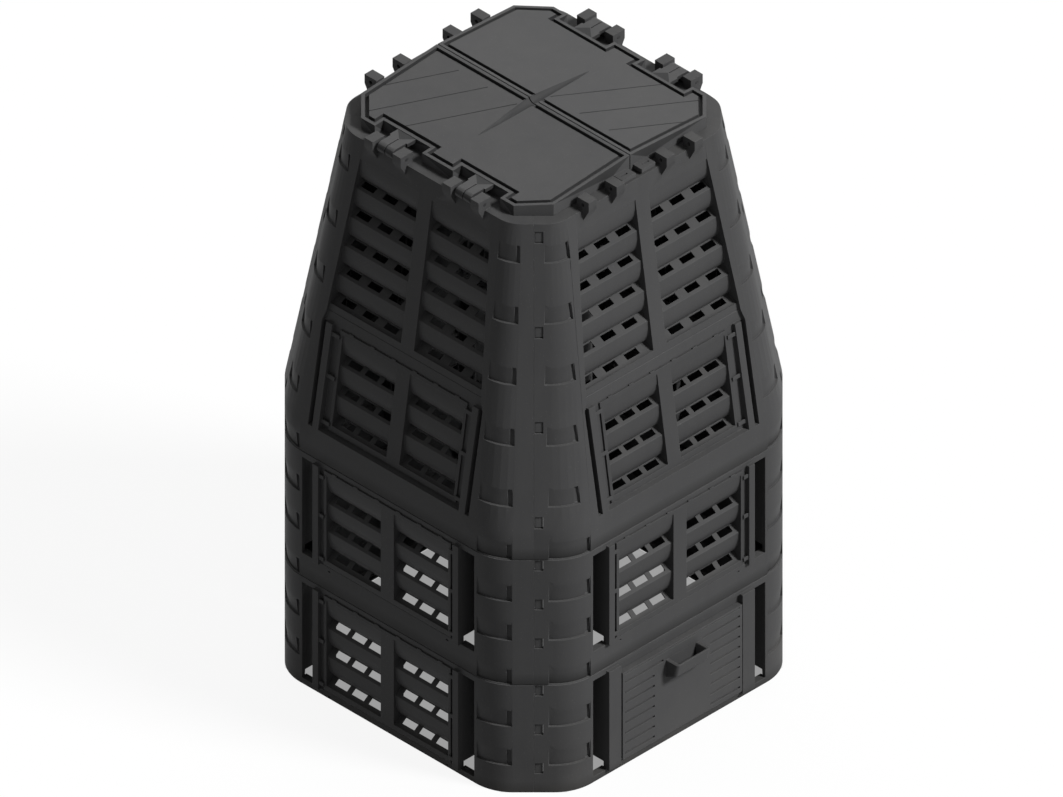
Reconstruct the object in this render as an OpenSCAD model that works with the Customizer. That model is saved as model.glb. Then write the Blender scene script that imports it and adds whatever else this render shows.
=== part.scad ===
// Modular garden compost bin of dark moulded plastic. Two straight rings of
// four wall panels carry one tall tapered ring; the panels hook together at
// the rounded corners. Louvred vent inserts snap into the wall windows, a
// harvest door tips out at the bottom front and two lid flaps swing outwards.
// Millimetres, +Z up. The origin is on the ground under the middle of the
// bin and the harvest door faces -Y.

/* [Overall] */
// Width of the base across two opposite walls
base_w = 780; // [750:5:810]
// Width across two opposite walls at the top rim
top_w = 568; // [556:1:580]
// Height of the top rim above the ground
rim_h = 1236; // [1216:2:1256]
// Height from one straight ring to the next
ring_pitch = 290; // [284:1:296]
// Depth by which an upper ring sleeves down over the lower one
skirt_h = 40; // [36:1:44]
// Thickness of the wall skin
wall_t = 8; // [7:0.5:9]

/* [Corners] */
// Radius of the corner bends at the base
corner_r = 100; // [90:1:110]
// Width of the flat across each corner at the base
corner_flat = 77; // [70:1:84]
// Radius of the corner bends at the top rim
top_corner_r = 60; // [54:1:66]
// Width of the flat across each corner at the top rim
top_corner_flat = 44; // [40:1:50]
// Gap left between two wall panels at a corner
panel_gap = 0.3; // [0.2:0.1:0.6]
// Depth of a corner pocket at its lower ledge
pocket_d = 5; // [3:0.5:5.5]
// Height of a corner pocket
pocket_h = 43; // [38:1:48]
// Length of a pocket past the bend, on the corner flat
pocket_run = 10; // [6:1:14]
// Height of the first pocket ledge in a straight ring
pocket_z = 62; // [58:1:66]
// Height from one pocket ledge to the next in a straight ring
pocket_pitch = 90; // [86:1:92]
// Height of the slit at the end of a pocket
slit_h = 34; // [30:1:36]
// Height of the first pocket ledge in the tapered ring, above its belt
top_pocket_z = 46; // [42:1:50]
// Height from one pocket ledge to the next in the tapered ring
top_pocket_pitch = 125; // [120:1:126]

/* [Corner clips] */
// Width of the clip window beside a corner seam
clip_w = 16; // [14:1:18]
// Height of the clip window
clip_h = 24; // [22:1:26]
// Distance from the seam to the clip window
clip_edge = 2; // [1.5:0.5:3]
// Height of the first clip window in a straight ring
clip_z = 55.5; // [54:0.5:57]
// Height of the first clip window in the tapered ring, above its belt
top_clip_z = 14; // [13:0.5:16]
// Height from one clip window to the next in the tapered ring
top_clip_pitch = 195; // [190:1:196]
// Thickness of the hook that sits behind the window
hook_t = 4; // [3:0.5:5]
// Depth of the hook's nose below the outer face
hook_sunk = 2.5; // [2:0.5:3]

/* [Wall slots] */
// Height of the sill under slots and windows
sill_h = 13; // [12:0.5:14]
// Height of wall above the slots in a straight ring
header_h = 15; // [14:0.5:16]
// Width of wall between a slot and the corner bend
column_w = 5; // [4:0.5:6]
// Depth of the stiffening flanges beside the slots
flange_d = 38; // [36:1:40]
// Thickness of the stiffening flanges
flange_t = 4; // [3:0.5:5]
// Height of the flange foot above the sill
flange_lift = 15; // [13:1:17]
// Width of the upright ribs beside the window
rib_w = 15; // [13:1:16]
// Height of the ribs above the wall face
rib_proud = 8; // [7:0.5:9]
// Width of the channel between vent insert and rib
channel_w = 10; // [9:0.5:11]
// Width of the slots in the tapered ring
top_slot_w = 11; // [9:1:13]
// Height of the slots in the tapered ring
top_slot_h = 223; // [222:1:226]
// Width of the upright ribs in the tapered ring
top_rib_w = 16; // [14:1:18]
// Width of the channel in the tapered ring
top_channel_w = 18; // [16:1:20]

/* [Vent inserts] */
// Width of an insert over its lip
vent_w = 340; // [336:1:344]
// Thickness of the lip
lip_t = 4; // [3.5:0.5:4.5]
// Distance by which the lip stands proud of a straight wall
vent_proud = 2.5; // [2:0.5:3]
// Gap between the lip and the wall above and below it
lip_gap = 3; // [2.5:0.5:3.5]
// Width by which the lip covers the edge of the window
lip_lap = 6; // [5:0.5:6]
// Width of the bar between the two louvre columns
mullion_w = 35; // [31:1:39]
// Thickness of the insert's inner webs
web_t = 3; // [2.5:0.5:3.5]
// Number of louvres in an insert
vent_rows = 3; // [2:1:3]
// Depth of the louvres behind the lip's face
louvre_d = 25; // [22:1:26]
// Depth of the louvres' outer edges behind the lip's face
louvre_edge = 5; // [4:0.5:6]
// Rise of each louvre's sloping ledge
ledge_rise = 15; // [13:1:17]
// Thickness of the louvre sheet, measured level
sheet_t = 4; // [3:0.5:5]
// Width of an air hole
hole_w = 33; // [28:1:36]
// Distance between air holes in an insert
hole_pitch = 45; // [43:1:46]
// Depth of an air hole across its ledge
hole_d = 12; // [9:1:13]
// Width of the snap lugs that hold an insert
lug_w = 8; // [6:1:10]
// Number of locating tabs along the insert's edges
tab_count = 6; // [4:1:7]
// Width of a locating tab
tab_w = 11; // [8:1:14]

/* [Tapered ring] */
// Height of the tapered ring's belt above the straight ring
belt_h = 29; // [27:1:32]
// Depth of the recessed centre panel at its foot
centre_inset = 12.5; // [11:0.5:14]
// Height of the lip of the upper inserts above the belt
top_vent_lift = 3.5; // [3:0.5:4]
// Plain band between the upper inserts and the moulded louvres
band_h = 28; // [26:1:31]
// Plain land under the first moulded louvre
louvre_land = 13; // [11:1:15]
// Width over the moulded louvres at their foot
louvre_w = 414; // [408:1:420]
// Width over the moulded louvres at their top
louvre_top_w = 348; // [342:1:354]
// Number of moulded louvres
louvre_rows = 5; // [4:1:5]
// Height of one moulded louvre
louvre_pitch = 65.5; // [63:0.5:67]
// Distance of the middle air hole from the wall's middle, in the lowest louvre
wall_hole_x = 116; // [112:1:118]
// Distance by which that hole moves in from louvre to louvre
wall_hole_step = 3.8; // [3:0.1:4.2]
// Distance between air holes in the moulded louvres
wall_hole_pitch = 57; // [54:1:58]
// Width of the shelf around the mouth under the lid
shelf_w = 57; // [54:1:60]
// Thickness of the shelf
shelf_t = 6; // [5:0.5:7]

/* [Hinges] */
// Height of a hinge ear above the rim
ear_h = 24; // [23.5:0.5:25]
// Depth of a hinge ear
ear_d = 32; // [30:1:34]
// Width of a hinge ear
ear_w = 22; // [20:1:23]
// Height of a hinge ear's toe below the rim
ear_toe = 22; // [20:1:24]
// Distance by which the ear stands out from the rim
ear_out = 16.5; // [15:0.5:18]
// Distance of a hinge's middle from the wall's middle
hinge_x = 104.5; // [102:0.5:107]
// Distance from a hinge's middle to the middle of an ear
ear_off = 37.5; // [37:0.5:39]
// Radius of the hinge pins
pin_r = 4; // [3.5:0.25:4.5]
// Radial running clearance of the turning parts on their pins
run_gap = 0.08; // [0.05:0.01:0.1]
// Width of a lid finger
finger_w = 19; // [18:1:22]
// Width of the slot between two lid fingers
finger_slot = 2.5; // [2:0.5:3]
// Width of the hinge arm behind its fingers
arm_w = 48; // [44:1:52]
// Thickness of the hinge arm
arm_t = 8; // [6:0.5:9]
// Radius of the lid finger's knuckle
knuckle_r = 11.5; // [11:0.25:11.75]

/* [Lid flaps] */
// Width of the closed lid across both flaps
lid_w = 516; // [512:1:520]
// Corner cut of the closed lid, along each side
lid_cut = 53.6; // [48:0.4:58]
// Height of the lid's outer edge above the rim
lid_edge_h = 23; // [22:0.5:24]
// Height of the lid's ridge above its outer edge
lid_rise = 16; // [14:0.5:18]
// Thickness of the lid's skin
lid_t = 4; // [3:0.5:4.5]
// Width of the raised border around each flap
border_w = 7; // [6:0.5:8]
// Width of the groove inside the border
groove_w = 8; // [7:0.5:9]
// Depth of that groove
groove_d = 7; // [6:0.5:7.5]
// Gap between the two flaps
seam_gap = 2; // [1.5:0.5:3]
// Gap under the closed flaps
lid_seat = 0.3; // [0.2:0.1:0.5]
// Depth of the hinge notch in a flap's edge
notch_d = 23; // [21:1:24]
// Width of the hinge notch
notch_w = 126; // [122:1:130]
// Length of the finger scoop
scoop_l = 168; // [150:2:190]
// Radius of the finger scoop at the seam
scoop_r = 13; // [11:0.5:14]
// Width of a lift tab
lift_w = 36; // [30:1:40]
// Length of a lift tab
lift_l = 24; // [20:1:25]
// Thickness of a lift tab
lift_t = 9; // [7:0.5:10]
// Width of the crease lines on a flap
crease_w = 2.4; // [1.5:0.1:3]
// Distance between two crease lines
crease_pitch = 78; // [74:1:82]

/* [Harvest door] */
// Width of the harvest door
door_w = 320; // [312:1:330]
// Thickness of the harvest door
door_t = 13; // [11:0.5:14]
// Distance by which the door stands proud of the wall
door_proud = 9; // [8:0.5:10]
// Height of the door's pivot above the ground
pivot_z = 24; // [23:0.5:26]
// Gap between the closed door and the wall behind it
door_gap = 0.3; // [0.2:0.1:0.6]
// Gap between the door's side and the rib beside it
door_side = 2.5; // [2:0.5:4]
// Distance from the sill up to the top edge of the door
door_rise = 209; // [204:1:214]
// Width by which the wall reaches behind the door's edges
door_lap = 12; // [9:1:15]
// Radius of the door's pivot studs
stud_r = 4; // [3:0.25:4.5]
// Depth of the stud sockets in the ribs
socket_d = 8; // [6:0.5:10]
// Height of the first groove above the ground
door_groove_z = 31; // [29:1:33]
// Number of grooves across the door
door_grooves = 8; // [6:1:8]
// Distance between two grooves of the door
door_groove_pitch = 23.5; // [22:0.5:24]
// Width of a groove
door_groove_w = 5; // [4:0.5:6]
// Depth of a groove
door_groove_d = 5; // [3:0.5:6]
// Width of the plain panel in the middle of the door
door_panel_w = 149; // [140:1:160]
// Plain margin at the ends of the grooves
door_margin = 6; // [4:1:9]
// Width of the pull cup
cup_w = 90; // [80:1:110]
// Distance by which the pull cup stands out from the door
cup_d = 32; // [26:1:34]
// Height of the pull cup's lip below the top edge of the door
cup_drop = 26; // [20:1:32]
// Height of the pull cup
cup_h = 44; // [38:1:48]
// Thickness of the pull cup's cheeks
cup_t = 9; // [6:1:11]
// Thickness of the pull cup's front
cup_front_t = 5; // [4:0.5:6]

/* [Hidden] */
$fn = 64;

// tones of the moulded plastic
wall_tone = "#3c3c3c";
vent_tone = "#3a3a3a";
door_tone = "#404040";
lid_tone = "#484848";
pin_tone = "#2c2c2c";

// one overrun serves every cut
over = 1;
// small overlap where two solids of one piece grow together
fuse = 0.4;

// plan of the rings
base_half = base_w / 2;
top_half = top_w / 2;
diag_share = sin(45);
function bend_b(half, r) = half - r;
function bend_a(half, r, flat) = half - r - flat * diag_share;
function corner_reach(half, r, flat) = (bend_a(half, r, flat) + bend_b(half, r)) * diag_share + r;
function turn(p, k) = [p[0] * cos(k) - p[1] * sin(k), p[0] * sin(k) + p[1] * cos(k)];
base_a = bend_a(base_half, corner_r, corner_flat);
base_reach = corner_reach(base_half, corner_r, corner_flat);

// heights of the rings
ring_top = ring_pitch - skirt_h;
mid_z = ring_pitch;
top_z = ring_pitch * 2;
belt_z = top_z + belt_h;
taper_h = rim_h - belt_z;
spigot_h = skirt_h - flange_t;
spigot_root_share = 0.25;
spigot_root_h = skirt_h * spigot_root_share;

// the taper between belt and rim
function taper_share(z) = max(0, (z - belt_z) / taper_h);
function blend(lo, hi, z) = lo + (hi - lo) * taper_share(z);
function taper_reach(z) = corner_reach(blend(base_half, top_half, z),
    blend(corner_r, top_corner_r, z), blend(corner_flat, top_corner_flat, z));
taper_slope = (base_half - top_half) / taper_h;
corner_lean = atan((base_reach - taper_reach(rim_h)) / taper_h);

// slots and windows of the straight rings
vent_half = vent_w / 2;
rib_in = vent_half + channel_w;
rib_out = rib_in + rib_w;
slot_out = base_a - column_w;
slot_top = ring_top - header_h;
lip_z_share = 4 / 3;
lip_z = sill_h + lip_gap * lip_z_share;
vent_h = slot_top - lip_z;
window_lap_share = 0.6;
window_half = vent_half - lip_lap * window_lap_share;
web_out = window_half - fuse;
column_half = web_out - web_t;
lug_shares = [0.04, 0.495, 0.91];
lug_zs = lug_shares * vent_h;
lug_t = 3;
slit_turn = 5;
slit_share = 0.8;
slit_d = wall_t * slit_share;
slit_back_share = 1.5;
catch_share = 0.95;
catch_deep_share = 0.75;
clip_cut_share = 3;
clip_rows = 3;
top_clip_rows = 4;
top_pocket_rows = 5;
pocket_lead = 3;
bend_lead = 1;

// rebate at the head of each ring, which reads as a dark seam
seam_c = 2;

// louvres of an insert, in the insert's own frame
mullion_half = mullion_w / 2;
louvre_z = lip_lap * 2 - over;
louvre_top_share = 1.75;
louvre_top = vent_h - lip_lap * louvre_top_share;
vent_pitch = (louvre_top - louvre_z) / vent_rows;
hole_share = 0.75;
// heights along a bulging louvre blade, as shares of it
blade_steps = [0, 0.12, 0.35, 0.65];
hole_q = louvre_edge + (louvre_d - louvre_edge - hole_d) * hole_share;
vent_hole_x = (mullion_half + column_half) / 2;
web_d = louvre_d + seam_c;

// the tilted centre panel of the tapered ring
centre_half = base_half - centre_inset;
centre_tilt = atan((centre_half - top_half) / taper_h);
centre_l = taper_h / cos(centre_tilt);
top_rib_in = vent_half + top_channel_w;
top_rib_out = top_rib_in + top_rib_w;
top_slot_out = top_rib_out + top_slot_w;
outset = centre_inset * 2;
louvre_v = top_vent_lift + vent_h + band_h;
louvre_foot_v = louvre_v + louvre_land;
louvre_head_v = louvre_foot_v + louvre_rows * louvre_pitch;
louvre_foot_x = louvre_w / 2;
louvre_head_x = louvre_top_w / 2;
bend_facets = 5;

// hinges
hinge_z = rim_h + ear_h / 2;
ear_face = top_half + ear_out;
ear_toe_share = 0.15;
pin_l = ear_off * 2 + ear_w;
finger_off = (finger_w + finger_slot) / 2;

// shift that centres the whole object, pull cup included, over the origin
centre_y = (door_proud + cup_d - rib_proud) / 2;

// lid
lid_half = lid_w / 2;
lid_edge_z = rim_h + lid_edge_h;
lid_pitch = atan(lid_rise / lid_half);
lid_foot_z = rim_h + lid_seat;
trough_w = border_w + groove_w;
trough_d = groove_d + lid_t;
inset_share = sqrt(2) - 1;
lift_z = rim_h + flange_t;
lift_gap_share = 4;
lift_x = seam_gap * lift_gap_share;
lift_slot_share = 1 / 3;
scoop_share = 0.75;
scoop_rise = lid_t * scoop_share;
crease_x = trough_w * 2;
crease_turn = 30;
crease_count = 3;
crease_d = crease_w / 2;

// harvest door
door_half = door_w / 2;
door_foot_r = door_t / 2;
pivot_y = base_half + door_proud - door_foot_r;
door_top_z = sill_h + door_rise;
door_floor = door_t - door_proud + door_gap;
door_bay = door_half + door_side;
door_window_z = pivot_z + lip_gap;
door_window_top = door_top_z - door_lap + seam_c;
stud_l = rib_in + socket_d - fuse - door_half;
cup_top_z = door_top_z - cup_drop;
cup_z = cup_top_z - cup_h;
cup_knee_share = 0.8;
cup_rise_share = 0.3;
cup_knee_z = cup_z + cup_h * cup_rise_share;

// outline of a ring: flats, chamfers and true arcs between them
module plan(half, r, flat) {
    a = bend_a(half, r, flat);
    b = bend_b(half, r);
    s = r * diag_share;
    quarter = [[a, -half], [a + s, -b - s], [b + s, -a - s], [half, -a]];
    polygon([for (k = [0 : 90 : 270]) for (p = quarter) turn(p, k)]);
    for (k = [0 : 90 : 270]) for (p = [[a, -b], [b, -a]]) translate(turn(p, k)) circle(r);
}

module shell(inset, z0, z1) {
    translate([0, 0, z0]) linear_extrude(z1 - z0)
        plan(base_half - inset, corner_r - inset, corner_flat);
}

// points of a ring's outline at one height, its bends broken into short flats
function outline(half, r, flat, z) =
    let (a = bend_a(half, r, flat), b = bend_b(half, r), step = 45 / bend_facets)
    [for (k = [0 : 90 : 270]) for (s = [0, 1]) for (i = [0 : bend_facets])
        let (t = s * 45 - 90 + i * step,
            p = turn([(s == 0 ? a : b) + r * cos(t), (s == 0 ? -b : -a) + r * sin(t)], k))
        [p[0], p[1], z]];

function taper_line(inset, z) = outline(blend(base_half, top_half, z) - inset,
    blend(corner_r, top_corner_r, z) - inset, blend(corner_flat, top_corner_flat, z), z);

// body of the tapered ring through the outlines at some heights, drawn in by an inset
module taper_body(inset, heights) {
    n = 8 * (bend_facets + 1);
    last = (len(heights) - 1) * n;
    polyhedron(points = [for (z = heights) each taper_line(inset, z)],
        faces = concat([[for (i = [0 : n - 1]) i]], [[for (i = [n - 1 : -1 : 0]) last + i]],
            [for (h = [0 : n : last - n]) for (i = [0 : n - 1])
                [h + i, h + i + n, h + (i + 1) % n + n, h + (i + 1) % n]]));
}

// the quarter of space that one wall panel fills, up to the corner seams
module sector(z0, z1) {
    translate([0, -panel_gap * diag_share, z0]) linear_extrude(z1 - z0)
        polygon([[0, 0], [base_w, -base_w], [-base_w, -base_w]]);
}

// a profile of [depth, height] points swept round one corner bend, between two
// angles counted from the wall face
module bend_cut(side, from, to, half, r, flat, profile) {
    start = side > 0 ? from - 90 : -90 - to;
    translate([side * bend_a(half, r, flat), -bend_b(half, r), 0]) rotate([0, 0, start])
        rotate_extrude(angle = to - from) polygon([for (p = profile) [r - p[0], p[1]]]);
}

// corner pocket: flush at its head, sunk at its lower ledge, with a slit at its far
// end; lead is the angle by which it starts past the bend and rise its inward slope
module pocket(side, z, lead, half, r, flat, rise) {
    past = 1 + over / pocket_d;
    ledge = [[-over, z], [pocket_d, z],
        [pocket_d + past * (rise * pocket_h - pocket_d), z + past * pocket_h]];
    foot = z + seam_c;
    slit = [[-over, foot], [slit_d, foot], [slit_d + rise * slit_h, foot + slit_h],
        [-over, foot + slit_h]];
    first = side < 0 ? lead + bend_lead : bend_lead;
    start = side < 0 ? first + bend_lead : 45 - slit_turn * slit_back_share;
    run = min(pocket_run, flat / 2 - clip_edge - clip_w - seam_c);
    last = side < 0 ? 45 + atan(run / r) : start + slit_turn + bend_lead;
    bend_cut(side, first, last, half, r, flat, ledge);
    bend_cut(side, start, start + slit_turn, half, r, flat, slit);
}

// clip window beside the left seam, and the hook that reaches past the right seam
module clip_window(z, reach) {
    rotate([0, 0, -45]) translate([clip_edge, -reach - wall_t, z - clip_h / 2])
        cube([clip_w, wall_t * clip_cut_share, clip_h]);
}

module clip_hook(z, reach, lean) {
    tall = clip_h - 2 * fuse;
    behind = wall_t + fuse;
    lift = (behind + fuse) * sin(lean);
    rotate([0, 0, 45]) translate([0, -reach, z]) rotate([-lean, 0, 0]) translate([0, 0, -tall / 2]) {
        translate([-clip_w, behind, 0]) cube([clip_w * 2 + clip_edge - fuse, hook_t, tall]);
        translate([-clip_w, wall_t - fuse, 0]) cube([clip_w - clip_edge, hook_t, tall]);
        translate([clip_edge + fuse, hook_sunk, lift])
            cube([clip_w - 2 * fuse, behind - hook_sunk + fuse, tall - lift]);
    }
}

// a flat shape of [x, z] points given depth from y0 to y1
module slab(points, y0, y1) {
    translate([0, y1, 0]) rotate([90, 0, 0]) linear_extrude(y1 - y0) polygon(points);
}

// channel around an insert's lip and the window behind it, in the insert's frame
module seat_cut(inner) {
    translate([-inner, -outset, -lip_gap]) cube([inner * 2, outset + lip_t, vent_h + lip_gap * 2]);
    translate([-window_half, 0, lip_lap]) cube([window_half * 2, web_d, vent_h - lip_lap * 2]);
}

// lugs on the ribs that snap over an insert's lip
module snap_lugs(inner) {
    for (side = [-1, 1]) for (z = lug_zs)
        translate([side > 0 ? vent_half - seam_c : -inner - fuse, -lug_t - door_gap, z])
            cube([inner - vent_half + seam_c + fuse, lug_t, lug_w]);
}

// strips behind a wall on both sides, from x0 to x1
module side_strips(x0, x1, y0, y1, z0, z1) {
    for (side = [0, 1]) mirror([side, 0, 0])
        translate([x0, y0, z0]) cube([x1 - x0, y1 - y0, z1 - z0]);
}

// one panel of a straight ring with its face at -Y; skirt is its depth below its
// own zero, and the door panel has stud sockets in place of snap lugs
module ring_wall(z0, skirt, has_door) {
    face = -base_half;
    inside = face + wall_t;
    translate([0, 0, z0]) difference() {
        union() {
            intersection() {
                sector(-skirt, ring_top);
                difference() {
                    union() {
                        shell(0, -skirt, ring_top - seam_c);
                        shell(seam_c, -skirt, ring_top);
                    }
                    shell(wall_t, -skirt - over, ring_top + over);
                }
            }
            side_strips(rib_out - flange_t, rib_out, inside - fuse, face + flange_d,
                sill_h + flange_lift, ring_top - seam_c);
            side_strips(slot_out, slot_out + flange_t, inside - fuse, face + flange_d,
                sill_h + flange_lift, ring_top - seam_c);
            side_strips(has_door ? door_bay : rib_in, rib_out, face - rib_proud, inside,
                sill_h, slot_top + lip_gap * 2);
            side_strips(rib_out - flange_t, slot_out + flange_t, inside - fuse, face + wall_t * 2,
                sill_h - flange_t, sill_h);
            translate([-slot_out, inside - fuse, ring_top - spigot_root_h])
                cube([slot_out * 2, flange_t + fuse * 2, spigot_root_h]);
            translate([-slot_out, inside + fuse, ring_top - over])
                cube([slot_out * 2, flange_t, spigot_h + over]);
            if (skirt == 0)
                translate([-slot_out - flange_t, inside - fuse, 0])
                    cube([(slot_out + flange_t) * 2, wall_t, flange_t]);
            for (i = [0 : clip_rows - 1])
                clip_hook(clip_z + i * pocket_pitch, base_reach, 0);
        }
        if (has_door) {
            translate([-door_bay, face - outset, sill_h + over])
                cube([door_bay * 2, outset + door_floor, slot_top - sill_h + lip_gap]);
            translate([-door_half + door_lap, face - over, door_window_z])
                cube([(door_half - door_lap) * 2, wall_t * 2, door_window_top - door_window_z]);
            for (side = [0, 1]) mirror([side, 0, 0])
                translate([door_bay - over, -pivot_y, pivot_z]) rotate([0, 90, 0])
                    cylinder(r = stud_r + run_gap, h = rib_in + socket_d - door_bay + over);
        } else {
            translate([0, face - vent_proud, lip_z]) seat_cut(rib_in);
        }
        side_strips(rib_out, slot_out, face - over, inside + over * 2, sill_h, slot_top);
        side_strips(window_half * catch_share - lip_gap, window_half * catch_share + lip_gap,
            face - over, face + wall_t * catch_deep_share, lip_gap, lip_gap * 2);
        for (side = [-1, 1]) for (i = [skirt > 0 ? -1 : 0 : 1])
            pocket(side, i < 0 ? -skirt - seam_c : pocket_z + i * pocket_pitch, 0, base_half, corner_r,
                corner_flat, 0);
        for (i = [0 : clip_rows - 1])
            clip_window(clip_z + i * pocket_pitch, base_reach);
    }
    if (!has_door)
        translate([0, face - vent_proud, z0 + lip_z]) snap_lugs(rib_in);
}

// one column of louvres between x0 and an outer edge that runs from x1 to x2
function blade(edge, low, high) = [for (f = blade_steps)
    [edge + (louvre_d - edge) * (1 - sqrt(1 - (1 - f) * (1 - f))), low + (high - low) * f]];

module louvre_column(x0, x1, x2, z, pitch, rows) {
    head = z + rows * pitch;
    line = concat([for (i = [0 : rows - 1]) each concat([[louvre_edge, z + i * pitch]],
        blade(i < rows - 1 ? louvre_edge : seam_c, z + i * pitch + ledge_rise, z + (i + 1) * pitch))],
        [[seam_c, head], [seam_c, head + sheet_t]]);
    n = len(line);
    back = [for (i = [n - 1 : -1 : 0]) [line[i][0] + sheet_t, line[i][1]]];
    foot = z - web_t;
    tip = head + sheet_t;
    intersection() {
        slab([[x0 - fuse, foot], [x1 + fuse, foot], [x2 + fuse, tip], [x0 - fuse, tip]], 0, web_d * 2);
        translate([x0 - over, 0, 0]) rotate([90, 0, 90]) linear_extrude(x1 - x0 + over * 2)
            polygon(concat(line, back));
    }
    slab([[x0 - fuse, foot], [x1 + fuse, foot], [x1 + fuse, z + over], [x0 - fuse, z + over]], 0,
        louvre_edge + sheet_t);
    slab([[x0 - web_t, foot], [x0, foot], [x0, tip], [x0 - web_t, tip]], fuse, web_d);
    slab([[x1, foot], [x1 + web_t, foot], [x2 + web_t, tip], [x2, tip]], fuse, web_d);
}

// the opening of a column through the plate in front of it, and its air holes
module louvre_opening(x0, x1, x2, z, pitch, rows, depth) {
    head = z + rows * pitch + sheet_t / 2;
    slab([[x0, z], [x1, z], [x2, head], [x0, head]], -over, depth);
}

module air_holes(x, x_step, gap, z, pitch, rows) {
    for (i = [0 : rows - 1]) for (j = [-1 : 1])
        translate([x - i * x_step + j * gap - hole_w / 2, hole_q, z + i * pitch - sheet_t])
            cube([hole_w, hole_d, ledge_rise + sheet_t]);
}

// louvred insert, its face at y = 0 and the foot of its lip at z = 0
module vent_insert() {
    difference() {
        union() {
            difference() {
                translate([-vent_half, 0, 0]) cube([vent_w, lip_t, vent_h]);
                for (side = [0, 1]) mirror([side, 0, 0])
                    louvre_opening(mullion_half, column_half, column_half, louvre_z, vent_pitch,
                        vent_rows, lip_t + over);
            }
            for (side = [0, 1]) mirror([side, 0, 0])
                louvre_column(mullion_half, column_half, column_half, louvre_z, vent_pitch, vent_rows);
            for (i = [0 : tab_count - 1])
                translate([vent_w * (i * 2 + 1 - tab_count) / (tab_count * 2) - tab_w / 2, 0,
                vent_h - fuse])
                    cube([tab_w, lip_t, lip_gap]);
        }
        for (side = [0, 1]) mirror([side, 0, 0])
            air_holes(vent_hole_x, 0, hole_pitch, louvre_z, vent_pitch, vent_rows);
    }
}

module ring_vent(z0) {
    translate([0, -base_half - vent_proud, z0 + lip_z]) vent_insert();
}

// puts a part on the tilted centre panel, with the belt's upper edge at z = 0
module on_slope() {
    translate([0, -centre_half, belt_z]) rotate([-centre_tilt, 0, 0]) children();
}

module above_belt() {
    intersection() {
        translate([-base_w, -base_w, belt_z]) cube([base_w * 2, base_w * 2, rim_h]);
        children();
    }
}

module hinge_ear(x) {
    toe_z = rim_h - ear_toe;
    toe_y = blend(base_half, top_half, toe_z) - over;
    back_y = ear_face - ear_d;
    translate([x - ear_w / 2, 0, 0]) rotate([90, 0, 90]) linear_extrude(ear_w)
        polygon([[-ear_face, rim_h + ear_h], [-ear_face, rim_h + ear_h * ear_toe_share],
            [-toe_y, toe_z], [-toe_y + web_t, toe_z], [-back_y, rim_h - shelf_t / 2],
            [-back_y, rim_h + ear_h]]);
}

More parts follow.
